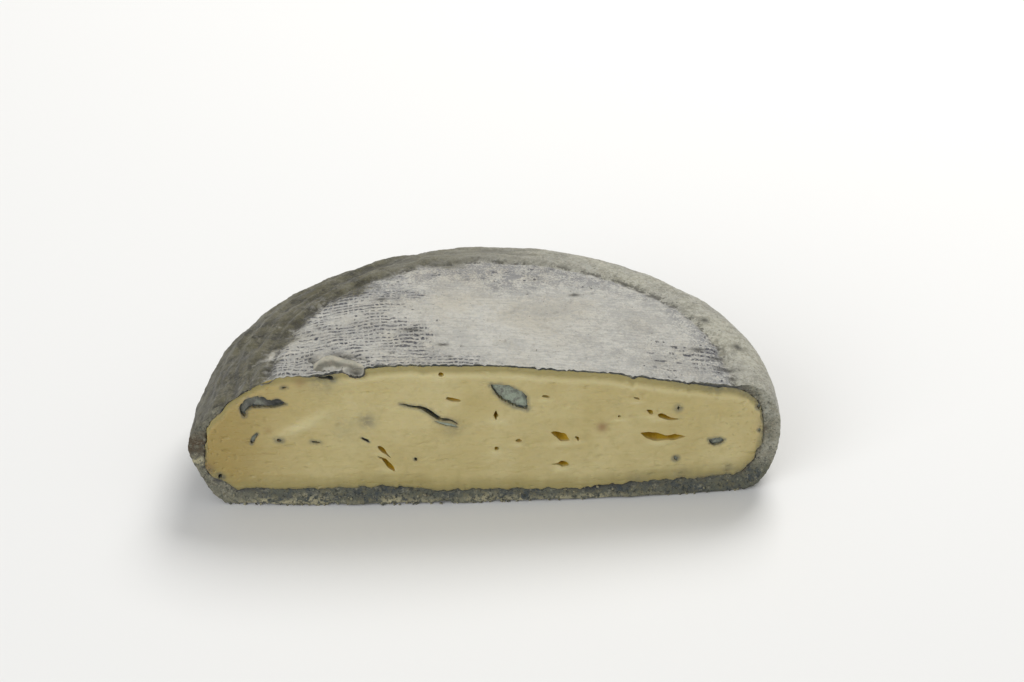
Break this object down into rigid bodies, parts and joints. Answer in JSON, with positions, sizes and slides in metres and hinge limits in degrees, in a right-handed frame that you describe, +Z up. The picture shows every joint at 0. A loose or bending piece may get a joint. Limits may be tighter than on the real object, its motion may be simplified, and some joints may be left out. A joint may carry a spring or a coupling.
{
  "type": "soft blue cheese half",
  "caption": "Half of a small round soft blue cheese with a white and grey mould rind, cut face showing pale yellow paste with blue pockets and holes.",
  "frame": {"origin": "on the flat base, at the middle of the whole wheel that the half was cut from", "axes": "+Z up out of the base along the wheel's axis, -Y out of the cut face, +X along the cut to the right as it is faced"},
  "size_m": [0.1262, 0.0684, 0.0343],
  "materials": {
    "rind": "matt, dusty white and blue-grey mould bloom with a fine mat imprint",
    "paste": "satin, soft pale yellow paste that glows a little where it is thin",
    "blue_mould": "matt, velvety blue-grey mould lining the pockets and veins"
  },
  "bodies": {
    "root": {"cheese": "rind"}
  },
  "joints": []
}
